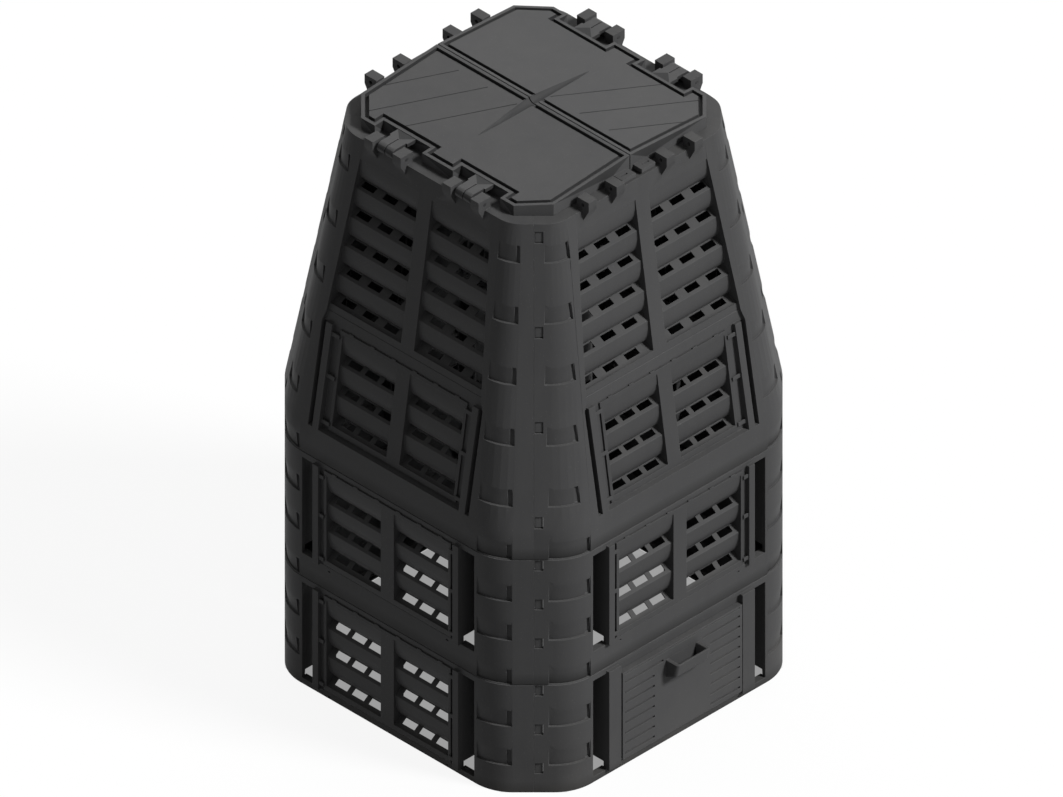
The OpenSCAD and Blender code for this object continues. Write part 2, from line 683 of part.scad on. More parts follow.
// one panel of the tapered ring with its face at -Y
module top_wall() {
    bottom = top_z - skirt_h;
    face = -base_half;
    inside = face + wall_t;
    difference() {
        union() {
            difference() {
                intersection() {
                    sector(bottom, rim_h);
                    difference() {
                        taper_body(0, [bottom, belt_z, rim_h]);
                        taper_body(wall_t, [bottom - over, belt_z, rim_h - shelf_t]);
                        translate([0, 0, rim_h - shelf_t - over]) linear_extrude(shelf_t + over * 2)
                            plan(top_half - shelf_w, top_corner_r / 2, top_corner_flat);
                    }
                }
                above_belt() on_slope() slab([[-top_slot_out, -outset], [top_slot_out, -outset],
                    [top_slot_out, louvre_v - band_h + lip_gap], [louvre_foot_x, louvre_v],
                    [louvre_head_x, louvre_head_v], [louvre_head_x, centre_l],
                    [-louvre_head_x, centre_l], [-louvre_head_x, louvre_head_v],
                    [-louvre_foot_x, louvre_v], [-top_slot_out, louvre_v - band_h + lip_gap]],
                    -outset, 0);
                on_slope() for (side = [0, 1]) mirror([side, 0, 0])
                    louvre_opening(mullion_half, louvre_foot_x, louvre_head_x, louvre_foot_v,
                        louvre_pitch, louvre_rows, wall_t * 2);
            }
            intersection() {
                sector(bottom, rim_h);
                taper_body(0, [belt_z, rim_h]);
                on_slope() {
                    difference() {
                        translate([-top_slot_out - flange_t, 0, -outset])
                            cube([(top_slot_out + flange_t) * 2, wall_t, centre_l + outset]);
                        for (side = [0, 1]) mirror([side, 0, 0])
                            louvre_opening(mullion_half, louvre_foot_x, louvre_head_x,
                                louvre_foot_v, louvre_pitch, louvre_rows, wall_t + over);
                    }
                    side_strips(top_rib_in, top_rib_out, -outset, wall_t, -outset,
                        top_slot_h + lip_gap);
                    side_strips(top_rib_out - flange_t, top_rib_out, 0, flange_d - centre_inset,
                        -outset, top_slot_h + lip_gap);
                    side_strips(top_slot_out, top_slot_out + flange_t, -outset,
                        flange_d - centre_inset, -outset, top_slot_h + lip_gap);
                    for (side = [0, 1]) mirror([side, 0, 0])
                        louvre_column(mullion_half, louvre_foot_x, louvre_head_x, louvre_foot_v,
                            louvre_pitch, louvre_rows);
                }
            }
            translate([-top_slot_out - flange_t, inside - fuse, belt_z - flange_t])
                cube([(top_slot_out + flange_t) * 2, centre_inset + fuse, flange_t]);
            for (side = [-1, 1]) for (at = [hinge_x - ear_off, hinge_x + ear_off])
                hinge_ear(side * at);
            for (i = [0 : top_clip_rows - 1]) {
                z = belt_z + top_clip_z + i * top_clip_pitch;
                clip_hook(z, taper_reach(z), corner_lean);
            }
        }
        above_belt() on_slope() {
            translate([0, -vent_proud, top_vent_lift]) seat_cut(top_rib_in);
            side_strips(top_rib_out, top_slot_out, -outset, wall_t + over, -outset, top_slot_h);
            for (side = [0, 1]) mirror([side, 0, 0])
                air_holes(wall_hole_x, wall_hole_step, wall_hole_pitch, louvre_foot_v, louvre_pitch,
                    louvre_rows);
            side_strips(-louvre_foot_x, louvre_foot_x, -over, crease_d, louvre_v - crease_w, louvre_v);
        }
        for (side = [-1, 1]) {
            pocket(side, bottom - seam_c, 0, base_half, corner_r, corner_flat, 0);
            for (i = [0 : top_pocket_rows - 1]) {
                z = belt_z + top_pocket_z + i * top_pocket_pitch;
                pocket(side, z, (top_pocket_rows - 1 - i) * pocket_lead, blend(base_half, top_half, z),
                    blend(corner_r, top_corner_r, z), blend(corner_flat, top_corner_flat, z), taper_slope);
            }
        }
        for (i = [0 : top_clip_rows - 1]) {
            z = belt_z + top_clip_z + i * top_clip_pitch;
            clip_window(z, taper_reach(z));
        }
        for (side = [-1, 1])
            translate([side * hinge_x - pin_l / 2 - over, -top_half, hinge_z]) rotate([0, 90, 0])
                cylinder(r = pin_r + run_gap, h = pin_l + over * 2);
    }
    on_slope() translate([0, -vent_proud, top_vent_lift]) snap_lugs(top_rib_in);
}

module top_vent() {
    on_slope() translate([0, -vent_proud, top_vent_lift]) vent_insert();
}

// harvest door: round foot on two studs, grooved face and a pull cup open at its top
module tilt_door() {
    face = -base_half - door_proud;
    color(door_tone) difference() {
        union() {
            translate([-door_half, face, pivot_z]) cube([door_w, door_t, door_top_z - pivot_z]);
            translate([-door_half, -pivot_y, pivot_z]) rotate([0, 90, 0])
                cylinder(r = door_foot_r, h = door_w);
            translate([-door_half - stud_l, -pivot_y, pivot_z]) rotate([0, 90, 0])
                cylinder(r = stud_r, h = door_w + stud_l * 2);
            translate([-cup_w / 2, 0, 0]) rotate([90, 0, 90]) linear_extrude(cup_w)
                polygon([[face + fuse, cup_z], [face - cup_d * cup_knee_share, cup_knee_z],
                    [face - cup_d, cup_top_z], [face + fuse, cup_top_z]]);
        }
        translate([-cup_w / 2 + cup_t, 0, 0]) rotate([90, 0, 90]) linear_extrude(cup_w - cup_t * 2)
            polygon([[face + fuse, cup_z + cup_t],
                [face - cup_d * cup_knee_share + cup_front_t, cup_knee_z + cup_front_t],
                [face - cup_d + cup_front_t, cup_top_z + over],
                [face + fuse, cup_top_z + over]]);
        for (i = [0 : door_grooves - 1]) {
            z = door_groove_z + i * door_groove_pitch;
            side_strips(i == door_grooves - 1 ? cup_w / 2 + door_margin : door_panel_w / 2,
                door_half - door_margin, face - over, face + door_groove_d, z, z + door_groove_w);
        }
        translate([-door_half + door_margin, face - over, door_top_z - door_groove_w - over])
            cube([door_w - door_margin * 2, door_groove_d / 2 + over, door_groove_w / 2]);
    }
}

// outline of the right lid flap with its hinge notches, drawn in by an inset
function flap_line(inset) =
    let (h = lid_half - inset, c = lid_half - lid_cut - inset * inset_share,
        n0 = hinge_x - notch_w / 2 - inset, n1 = hinge_x + notch_w / 2 + inset,
        x = lid_half - notch_d - inset, s = seam_gap / 2 + inset)
    [[s, -h], [c, -h], [h, -c], [h, -n1], [x, -n1], [x, -n0], [h, -n0], [h, n0], [x, n0], [x, n1],
        [h, n1], [h, c], [c, h], [s, h]];

module flap_block(inset) {
    drop = inset > 0 ? over : 0;
    translate([0, 0, lid_foot_z - drop]) linear_extrude(rim_h) polygon(flap_line(inset));
}

// puts a part on the pitched top of the right flap, whose outer edge is at x = 0
module on_lid() {
    translate([lid_half, 0, lid_edge_z]) rotate([0, lid_pitch, 0]) children();
}

// everything between two depths below the pitched top
module lid_layer(deep, shallow) {
    on_lid() translate([-lid_w, -lid_w, -deep]) cube([lid_w * 2, lid_w * 2, deep - shallow]);
}

module scoop(wall) {
    on_lid() translate([-lid_half - over, 0, scoop_rise]) rotate([0, 90, 0])
        cylinder(r1 = scoop_r + wall, r2 = seam_c + wall, h = scoop_l);
}

// one lid flap; the other one is the same moulding turned half round
module lid_flap() {
    color(lid_tone) difference() {
        union() {
            difference() {
                intersection() {
                    flap_block(0);
                    lid_layer(lid_w, 0);
                }
                intersection() {
                    difference() {
                        flap_block(border_w);
                        flap_block(trough_w);
                    }
                    lid_layer(groove_d, -over);
                }
                intersection() {
                    flap_block(border_w);
                    lid_layer(lid_w, trough_d);
                }
                intersection() {
                    flap_block(trough_w + lid_t);
                    lid_layer(trough_d + over, lid_t);
                }
            }
            intersection() {
                flap_block(border_w / 2);
                lid_layer(lid_w, lid_t / 2);
                scoop(lid_t);
            }
            for (side = [-1, 1]) {
                translate([lid_half - notch_d - border_w / 2, side * hinge_x - arm_w / 2,
                    hinge_z + knuckle_r - arm_t])
                    cube([notch_d + border_w / 2, arm_w, arm_t]);
                for (off = [-finger_off, finger_off])
                    translate([0, side * hinge_x + off - finger_w / 2, 0]) {
                        translate([lid_half - fuse, 0, hinge_z + knuckle_r - arm_t])
                            cube([top_half - lid_half + fuse, finger_w, arm_t]);
                        translate([top_half, 0, hinge_z]) rotate([-90, 0, 0])
                            cylinder(r = knuckle_r, h = finger_w);
                    }
                translate([lift_x, side > 0 ? lid_half - fuse : -lid_half - lift_l, lift_z])
                    cube([lift_w, lift_l + fuse, lift_t]);
            }
        }
        scoop(0);
        intersection() {
            flap_block(trough_w + fuse);
            on_lid() for (i = [0 : crease_count - 1])
                translate([crease_x - lid_half, -scoop_r - seam_c - i * crease_pitch, -crease_d])
                    rotate([0, 0, -crease_turn]) cube([lid_w, crease_w, lid_t]);
        }
        for (side = [-1, 1]) {
            translate([top_half, side * hinge_x - arm_w / 2, hinge_z]) rotate([-90, 0, 0])
                cylinder(r = pin_r + run_gap, h = arm_w);
            translate([lift_x + lift_w * lift_slot_share, side * (lid_half + lift_l / 2) - seam_c,
                lift_z + lift_t - lid_t]) cube([lift_w / 2, seam_c * 2, lid_t + over]);
        }
    }
}

module hinge_pin(y) {
    color(pin_tone) translate([top_half, y - pin_l / 2, hinge_z]) rotate([-90, 0, 0])
        cylinder(r = pin_r, h = pin_l);
}

// sets a part, drawn for the front, on its side of the bin
module set_at(k) {
    translate([0, centre_y, 0]) rotate([0, 0, k]) children();
}

module base_wall(k) color(wall_tone) set_at(k) ring_wall(0, 0, k == 0);
module mid_wall(k) color(wall_tone) set_at(k) ring_wall(mid_z, skirt_h, false);
module taper_wall(k) color(wall_tone) set_at(k) top_wall();
module base_vent(k) color(vent_tone) set_at(k) ring_vent(0);
module mid_vent(k) color(vent_tone) set_at(k) ring_vent(mid_z);
module taper_vent(k) color(vent_tone) set_at(k) top_vent();

module wall_base_front() base_wall(0);
module wall_base_right() base_wall(90);
module wall_base_back() base_wall(180);
module wall_base_left() base_wall(270);
module wall_mid_front() mid_wall(0);
module wall_mid_right() mid_wall(90);
module wall_mid_back() mid_wall(180);
module wall_mid_left() mid_wall(270);
module wall_top_front() taper_wall(0);
module wall_top_right() taper_wall(90);
module wall_top_back() taper_wall(180);
module wall_top_left() taper_wall(270);
module vent_base_right() base_vent(90);
module vent_base_back() base_vent(180);
module vent_base_left() base_vent(270);
module vent_mid_front() mid_vent(0);
module vent_mid_right() mid_vent(90);
module vent_mid_back() mid_vent(180);
module vent_mid_left() mid_vent(270);
module vent_top_front() taper_vent(0);
module vent_top_right() taper_vent(90);
module vent_top_back() taper_vent(180);
module vent_top_left() taper_vent(270);
module harvest_door() set_at(0) tilt_door();
module lid_flap_right() set_at(0) lid_flap();
module lid_flap_left() set_at(180) lid_flap();
module hinge_pin_right_front() set_at(0) hinge_pin(-hinge_x);
module hinge_pin_right_back() set_at(0) hinge_pin(hinge_x);
module hinge_pin_left_front() set_at(180) hinge_pin(hinge_x);
module hinge_pin_left_back() set_at(180) hinge_pin(-hinge_x);

wall_base_front();
wall_base_right();
wall_base_back();
wall_base_left();
wall_mid_front();
wall_mid_right();
wall_mid_back();
wall_mid_left();
wall_top_front();
wall_top_right();
wall_top_back();
wall_top_left();
vent_base_right();
vent_base_back();
vent_base_left();
vent_mid_front();
vent_mid_right();
vent_mid_back();
vent_mid_left();
vent_top_front();
vent_top_right();
vent_top_back();
vent_top_left();
harvest_door();
lid_flap_right();
lid_flap_left();
hinge_pin_right_front();
hinge_pin_right_back();
hinge_pin_left_front();
hinge_pin_left_back();
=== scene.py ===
import bpy
import bmesh
import math
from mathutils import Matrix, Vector


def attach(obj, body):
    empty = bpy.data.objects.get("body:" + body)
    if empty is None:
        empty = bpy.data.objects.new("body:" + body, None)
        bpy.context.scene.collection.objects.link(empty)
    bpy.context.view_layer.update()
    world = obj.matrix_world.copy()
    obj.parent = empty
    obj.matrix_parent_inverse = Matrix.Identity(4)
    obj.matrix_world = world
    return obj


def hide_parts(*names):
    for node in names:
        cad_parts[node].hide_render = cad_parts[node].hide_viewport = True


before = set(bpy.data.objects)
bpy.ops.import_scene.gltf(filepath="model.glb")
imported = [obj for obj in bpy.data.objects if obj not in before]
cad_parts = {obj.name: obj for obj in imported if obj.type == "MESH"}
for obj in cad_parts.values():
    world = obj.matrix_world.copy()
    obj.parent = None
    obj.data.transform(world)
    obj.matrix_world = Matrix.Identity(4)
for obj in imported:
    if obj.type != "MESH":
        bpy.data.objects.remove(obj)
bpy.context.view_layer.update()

# Viewing angle of the photograph: a parallel view from the front left corner,
# 45 degrees round and about 35 degrees down on the harvest door's side.
centre_y = 0.0165  # middle of the rings; the whole box, pull cup included, is centred on 0
diagonal = math.sqrt(0.5)
view_fall = math.radians(35.264)
look = Vector((math.cos(view_fall) * diagonal, math.cos(view_fall) * diagonal, -math.sin(view_fall)))
screen_right = Vector((diagonal, -diagonal, 0.0))
screen_up = screen_right.cross(look)
view_shift, view_rise, view_distance = 0.00407, 0.4742, 8.0
view_middle = Vector((0.0, centre_y, 0.0)) - screen_right * view_shift + screen_up * view_rise
photo_view = bpy.data.cameras.new("photo_view")
photo_view.type = "ORTHO"
photo_view.ortho_scale = 2.0139
photo_view.clip_end = 60.0
camera = bpy.data.objects.new("photo_view", photo_view)
bpy.context.scene.collection.objects.link(camera)
camera.location = view_middle - look * view_distance
camera.rotation_euler = look.to_track_quat("-Z", "Y").to_euler()
bpy.context.scene.camera = camera

# Panels of the two straight rings: injection moulded from recycled charcoal
# plastic, matt with a fine grain, hooked together at the rounded corners.
# The bottom ring stands on the ground, so its foot is splashed with soil.


def add(tree, kind, operation=None, **sockets):
    """One node with its operation and its unlinked inputs set by name."""
    node = tree.nodes.new(kind)
    if operation:
        node.operation = operation
    for key, value in sockets.items():
        node.inputs[key.replace("_", " ")].default_value = value
    return node


def wire(tree, *links):
    """Links, each given as a node, its output, another node and its input."""
    for source, output, target, into in links:
        tree.links.new(source.outputs[output], target.inputs[into])


def shared_group(name, inputs, outputs):
    """A shader node group with number sockets, and its two end nodes."""
    tree = bpy.data.node_groups.new(name, "ShaderNodeTree")
    for way, labels in (("INPUT", inputs), ("OUTPUT", outputs)):
        for label in labels:
            tree.interface.new_socket(label, in_out=way, socket_type="NodeSocketFloat")
    return tree, tree.nodes.new("NodeGroupInput"), tree.nodes.new("NodeGroupOutput")


grain, g_in, g_out = shared_group(
    "moulded_grain", ("Grain Size", "Cloud Size"), ("Height", "Mottle", "Fleck"))
g_at = grain.nodes.new("ShaderNodeTexCoord")
g_fine = add(grain, "ShaderNodeTexNoise", Detail=3.0, Roughness=0.6)
g_cloud = add(grain, "ShaderNodeTexNoise", Detail=5.0, Roughness=0.55)
g_flow = add(grain, "ShaderNodeMapping", Scale=(34.0, 34.0, 3.2))
g_streak = add(grain, "ShaderNodeTexNoise", Scale=1.0, Detail=4.0, Roughness=0.6)
g_cell = add(grain, "ShaderNodeTexVoronoi", Scale=260.0)
g_spot = add(grain, "ShaderNodeMapRange", From_Min=0.16, From_Max=0.08)
g_pick = grain.nodes.new("ShaderNodeSeparateColor")
g_rare = add(grain, "ShaderNodeMapRange", From_Min=0.82, From_Max=0.9)
g_both = add(grain, "ShaderNodeMath", "MULTIPLY")
g_mix = add(grain, "ShaderNodeMix", Factor=0.4)
wire(grain, (g_at, "Object", g_fine, "Vector"), (g_at, "Object", g_cloud, "Vector"),
     (g_at, "Object", g_flow, "Vector"), (g_at, "Object", g_cell, "Vector"),
     (g_flow, "Vector", g_streak, "Vector"), (g_in, "Grain Size", g_fine, "Scale"),
     (g_in, "Cloud Size", g_cloud, "Scale"), (g_cell, "Distance", g_spot, "Value"),
     (g_cell, "Color", g_pick, "Color"), (g_pick, "Red", g_rare, "Value"), (g_spot, "Result", g_both, 0),
     (g_rare, "Result", g_both, 1), (g_cloud, "Fac", g_mix, "A"), (g_streak, "Fac", g_mix, "B"),
     (g_fine, "Fac", g_out, "Height"), (g_mix, "Result", g_out, "Mottle"),
     (g_both, "Value", g_out, "Fleck"))

soil, s_in, s_out = shared_group("garden_dust", ("On Top", "At Foot"), ("Dust",))
s_at = soil.nodes.new("ShaderNodeTexCoord")
s_patch = add(soil, "ShaderNodeTexNoise", Scale=9.0, Detail=6.0, Roughness=0.65)
s_way = soil.nodes.new("ShaderNodeSeparateXYZ")
s_up = add(soil, "ShaderNodeMapRange", From_Min=0.35, From_Max=0.95)
s_place = soil.nodes.new("ShaderNodeSeparateXYZ")
s_low = add(soil, "ShaderNodeMapRange", From_Min=0.17, From_Max=0.0)
s_a = add(soil, "ShaderNodeMath", "MULTIPLY")
s_b = add(soil, "ShaderNodeMath", "MULTIPLY")
s_sum = add(soil, "ShaderNodeMath", "ADD")
s_cut = add(soil, "ShaderNodeMapRange", From_Min=0.35, From_Max=0.75)
s_all = add(soil, "ShaderNodeMath", "MULTIPLY")
wire(soil, (s_at, "Object", s_patch, "Vector"), (s_at, "Normal", s_way, "Vector"),
     (s_at, "Object", s_place, "Vector"), (s_way, "Z", s_up, "Value"), (s_place, "Z", s_low, "Value"),
     (s_up, "Result", s_a, 0), (s_in, "On Top", s_a, 1), (s_low, "Result", s_b, 0),
     (s_in, "At Foot", s_b, 1), (s_a, "Value", s_sum, 0), (s_b, "Value", s_sum, 1),
     (s_patch, "Fac", s_cut, "Value"), (s_sum, "Value", s_all, 0), (s_cut, "Result", s_all, 1),
     (s_all, "Value", s_out, "Dust"))

# Painted shade: a band that darkens the plastic from 26 mm above a given foot height down, for the shade
# at the foot of each ring.
band, b_in, b_out = shared_group("painted_foot_shade", ("Foot Height",), ("Painted Shade",))
b_at = band.nodes.new("ShaderNodeTexCoord")
b_place = band.nodes.new("ShaderNodeSeparateXYZ")
b_above = add(band, "ShaderNodeMath", "SUBTRACT")
b_edge = add(band, "ShaderNodeMapRange", From_Min=0.026, From_Max=0.0)
wire(band, (b_at, "Object", b_place, "Vector"), (b_place, "Z", b_above, 0),
     (b_in, "Foot Height", b_above, 1), (b_above, "Value", b_edge, "Value"),
     (b_edge, "Result", b_out, "Painted Shade"))


def moulded_plastic(name, dark, light, rough, on_top, at_foot, grain_size=620.0, foot=-1.0):
    """Charcoal plastic between two greys, with grain, flecks, flow marks, dust and a foot band of painted
    shade, darker from 26 mm above the foot height down.
    """
    skin = bpy.data.materials.new(name)
    skin.use_nodes = True
    tree = skin.node_tree
    shader = tree.nodes["Principled BSDF"]
    shader.inputs["Specular IOR Level"].default_value = 0.07
    marks = tree.nodes.new("ShaderNodeGroup")
    marks.node_tree = grain
    marks.inputs["Grain Size"].default_value = grain_size
    marks.inputs["Cloud Size"].default_value = 4.5
    dust = tree.nodes.new("ShaderNodeGroup")
    dust.node_tree = soil
    dust.inputs["On Top"].default_value = on_top
    dust.inputs["At Foot"].default_value = at_foot
    tone = tree.nodes.new("ShaderNodeValToRGB")
    tone.color_ramp.elements[0].position = 0.3
    tone.color_ramp.elements[0].color = (dark, dark, dark * 1.02, 1.0)
    tone.color_ramp.elements[1].position = 0.7
    tone.color_ramp.elements[1].color = (light, light, light * 1.01, 1.0)
    fleck = tree.nodes.new("ShaderNodeMix")
    fleck.data_type = "RGBA"
    fleck.inputs["B"].default_value = (light * 2.1, light * 2.1, light * 2.15, 1.0)
    ring = tree.nodes.new("ShaderNodeGroup")
    ring.node_tree = band
    ring.inputs["Foot Height"].default_value = foot
    # painted shade mixed in at the foot, down to 0.6 of the dark grey
    shade = tree.nodes.new("ShaderNodeMix")
    shade.data_type = "RGBA"
    shade.inputs["B"].default_value = (dark * 0.6, dark * 0.6, dark * 0.6, 1.0)
    cover = tree.nodes.new("ShaderNodeMix")
    cover.data_type = "RGBA"
    cover.inputs["B"].default_value = (0.15, 0.142, 0.128, 1.0)
    gloss = add(tree, "ShaderNodeMapRange", From_Min=0.25, From_Max=0.75, To_Min=rough - 0.07,
                To_Max=rough + 0.09)
    dull = add(tree, "ShaderNodeMath", "MULTIPLY_ADD")
    dull.inputs[1].default_value = 0.4
    bump = add(tree, "ShaderNodeBump", Strength=0.35, Distance=0.0006)
    wire(tree, (marks, "Mottle", tone, "Fac"), (tone, "Color", fleck, "A"),
         (marks, "Fleck", fleck, "Factor"), (ring, "Painted Shade", shade, "Factor"),
         (fleck, "Result", shade, "A"), (shade, "Result", cover, "A"), (dust, "Dust", cover, "Factor"),
         (cover, "Result", shader, "Base Color"), (marks, "Mottle", gloss, "Value"),
         (dust, "Dust", dull, 0), (gloss, "Result", dull, 2), (dull, "Value", shader, "Roughness"),
         (marks, "Height", bump, "Height"), (bump, "Normal", shader, "Normal"))
    return skin


def moulded_piece(node, body, skin, edge, round_off=0.0005, soften=None):
    """The moulding of one CAD node with its sharp edges rounded, in an edge skin that is partly wear and
    partly a painted highlight.
    """
    weld = 0.00002
    seam_half, seam_drawn = 0.00015, 0.000002
    sharp = math.radians(38.0)
    shape = bmesh.new()
    shape.from_mesh(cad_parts[node].data)
    bmesh.ops.remove_doubles(shape, verts=shape.verts, dist=weld)
    if node.startswith("wall"):
        # the corner seams between two panels are drawn closed to a hair
        for way in (1.0, -1.0):
            for vert in shape.verts:
                off = (vert.co.x + way * (vert.co.y - centre_y)) * diagonal
                if abs(abs(off) - seam_half) < weld:
                    push = math.copysign(seam_drawn, off) - off
                    vert.co.x += push * diagonal
                    vert.co.y += push * diagonal * way
    if soften:
        soften(shape)
    mesh = bpy.data.meshes.new(node + "_moulding")
    shape.to_mesh(mesh)
    shape.free()
    mesh.materials.clear()
    mesh.materials.append(skin)
    mesh.materials.append(edge)
    for face in mesh.polygons:
        face.use_smooth = True
        face.material_index = 0
    mesh.set_sharp_from_angle(angle=sharp)
    piece = bpy.data.objects.new(node + "_moulding", mesh)
    bpy.context.scene.collection.objects.link(piece)
    rounding = piece.modifiers.new("edges", "BEVEL")
    rounding.width = round_off
    rounding.segments = 2
    rounding.limit_method = "ANGLE"
    rounding.angle_limit = sharp
    rounding.use_clamp_overlap = False
    rounding.loop_slide = False
    # the rounded edges take the lighter edge skin: wear and a painted highlight
    rounding.material = 1
    normals = piece.modifiers.new("normals", "WEIGHTED_NORMAL")
    normals.keep_sharp = False
    view = bpy.context.evaluated_depsgraph_get()
    done = bpy.data.meshes.new_from_object(piece.evaluated_get(view), depsgraph=view)
    piece.modifiers.clear()
    piece.data = done
    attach(piece, body)
    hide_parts(node)
    return piece


def repaint_faces(piece, skin, inside):
    """Another skin on the faces whose middle and direction pass a test."""
    piece.data.materials.append(skin)
    last = len(piece.data.materials) - 1
    for face in piece.data.polygons:
        if inside(face.center, face.normal):
            face.material_index = last


# Painted shade darkens the middle ring at its foot, 0.25 m up, and the bottom ring at the ground.
panel_skin = moulded_plastic("panel_plastic", 0.049, 0.060, 0.56, on_top=0.12, at_foot=0.0, foot=0.25)
# The edge skins are lighter: partly wear, partly a painted highlight along the rounded edges.
panel_edge = moulded_plastic("panel_worn_edge_painted_highlight", 0.056, 0.072, 0.48, on_top=0.08, at_foot=0.0, foot=0.25)
foot_skin = moulded_plastic("foot_panel_plastic", 0.049, 0.060, 0.56, on_top=0.14, at_foot=0.16, foot=0.0)
foot_edge = moulded_plastic("foot_worn_edge_painted_highlight", 0.056, 0.072, 0.48, on_top=0.08, at_foot=0.14)
for side in ("front", "right", "back", "left"):
    moulded_piece("wall_base_" + side, "bin", foot_skin, foot_edge)
    moulded_piece("wall_mid_" + side, "bin", panel_skin, panel_edge)

# Panels of the tapered top ring, of the same plastic: one moulding from the
# belt up to the rim with its hinge ears, the louvres moulded in one with it.
# Painted shade darkens this ring at its foot, 0.54 m up.
upper_skin = moulded_plastic("upper_panel_plastic", 0.050, 0.061, 0.56, on_top=0.1, at_foot=0.0, foot=0.54)
# Lighter edge skin: partly wear, partly a painted highlight.
upper_edge = moulded_plastic("upper_worn_edge_painted_highlight", 0.056, 0.072, 0.48, on_top=0.08, at_foot=0.0, foot=0.54)
for side in ("front", "right", "back", "left"):
    moulded_piece("wall_top_" + side, "bin", upper_skin, upper_edge)

# Louvred vent inserts, snapped into the windows of the panels behind lugs.
# They are moulded apart and come out a shade smoother and darker.
vent_skin = moulded_plastic("vent_plastic", 0.045, 0.055, 0.52, on_top=0.12, at_foot=0.1)
# Lighter edge skin: partly wear, partly a painted highlight.
vent_edge = moulded_plastic("vent_worn_edge_painted_highlight", 0.056, 0.074, 0.46, on_top=0.08, at_foot=0.1)
for ring in ("base", "mid", "top"):
    for side in ("front", "right", "back", "left"):
        if ring + side != "basefront":
            moulded_piece("vent_" + ring + "_" + side, "bin", vent_skin, vent_edge)

# Harvest door: a grooved moulding with a pull cup, turning on two studs at
# its foot. Hands and spilled compost leave it duller and dustier low down.
door_skin = moulded_plastic("door_plastic", 0.052, 0.063, 0.54, on_top=0.14, at_foot=0.08)
# Lighter edge skin: partly wear, partly a painted highlight.
door_edge = moulded_plastic("door_worn_edge_painted_highlight", 0.060, 0.078, 0.44, on_top=0.08, at_foot=0.08)


def soften_cup(shape):
    """The pull cup's outside and rim drawn with their large mould radii."""
    half, door_face, foot_z, rim_z = 0.045, -0.3825, 0.15, 0.196
    near, flat, steep = 0.0001, 0.002, 0.7
    outer_radius, rim_radius = 0.007, 0.0019

    def ridge(line):
        return len(line.link_faces) == 2 and line.calc_face_angle_signed(0.0) > steep

    flats = [line for line in shape.edges if len(line.link_faces) == 2
             and line.calc_face_angle(1.0) < flat
             and all(abs(v.co.x) < half + near and v.co.y < door_face + near
                     and foot_z < v.co.z < rim_z + near for v in line.verts)]
    bmesh.ops.dissolve_edges(shape, edges=flats, use_verts=False)
    outside = [line for line in shape.edges if ridge(line)
               and all(abs(abs(v.co.x) - half) < near and v.co.y < door_face + near
                       for v in line.verts)
               and min(v.co.z for v in line.verts) < rim_z - near]
    bmesh.ops.bevel(shape, geom=outside, offset=outer_radius, segments=5, profile=0.5, affect="EDGES")
    rim = [line for line in shape.edges if ridge(line)
           and all(abs(v.co.z - rim_z) < near and abs(v.co.x) < half + near for v in line.verts)
           and min(v.co.y for v in line.verts) < door_face - near]
    bmesh.ops.bevel(shape, geom=rim, offset=rim_radius, segments=3, profile=0.5, affect="EDGES")


def in_cup(middle, way):
    """The pull cup's inner sides and floor, which take painted light."""
    return abs(middle.x) < 0.0362 and -0.4095 < middle.y < -0.3818 \
        and 0.16 < middle.z < 0.1958 and (abs(way.x) > 0.9 or way.z > 0.9)


# Painted light: a far lighter skin on the cup's shaded inner sides and floor.
cup_light_skin = moulded_plastic("cup_painted_light", 0.11, 0.14, 0.4, on_top=0.0, at_foot=0.0)
door = moulded_piece("harvest_door", "door", door_skin, door_edge, soften=soften_cup)
repaint_faces(door, cup_light_skin, in_cup)

# Lid flaps: the same moulding twice, pitched to shed rain, with a raised
# border, crease lines and a finger scoop. Their tops are lighter than the
# panels as painted light, and the border groove, the creases and the scoop
# are darker as painted shade.
# The flaps' skin is lighter than the panels': painted light for the light falling on their tops.
lid_skin = moulded_plastic("lid_plastic_painted_light", 0.059, 0.073, 0.56, on_top=0.06, at_foot=0.0)
# Lighter edge skin: partly wear, partly a painted highlight.
lid_edge = moulded_plastic("lid_worn_edge_painted_highlight", 0.060, 0.076, 0.52, on_top=0.06, at_foot=0.0)
# Painted shade: a darker skin in the border groove and the creases.
lid_groove = moulded_plastic("lid_groove_painted_shade", 0.031, 0.040, 0.62, on_top=0.0, at_foot=0.0)
# Painted shade: a darker skin in the finger scoop's hollow.
lid_scoop = moulded_plastic("lid_scoop_painted_shade", 0.036, 0.050, 0.58, on_top=0.0, at_foot=0.0)


def under_the_top(middle):
    """How far a point lies under the pitched top of the flaps."""
    lid_top, lid_rise, lid_half = 1.275, 0.016, 0.258
    return lid_top - abs(middle.x) * lid_rise / lid_half - middle.z


def in_scoop(middle, way):
    """The finger scoop's hollow along the middle of both flaps, given painted shade."""
    scoop_l, scoop_half, shallow, deep = 0.2, 0.015, 0.0002, 0.0135
    return way.z > 0.3 and abs(middle.y - centre_y) < scoop_half \
        and abs(middle.x) < scoop_l and shallow < under_the_top(middle) < deep


def in_groove(middle, way):
    """The border groove and the crease lines, given painted shade."""
    shallow, deep = 0.0003, 0.0085
    return way.z > -0.2 and shallow < under_the_top(middle) < deep and not in_scoop(middle, way)


for side in ("right", "left"):
    flap = moulded_piece("lid_flap_" + side, "flap_" + side, lid_skin, lid_edge, 0.0004)
    repaint_faces(flap, lid_groove, in_groove)
    repaint_faces(flap, lid_scoop, in_scoop)

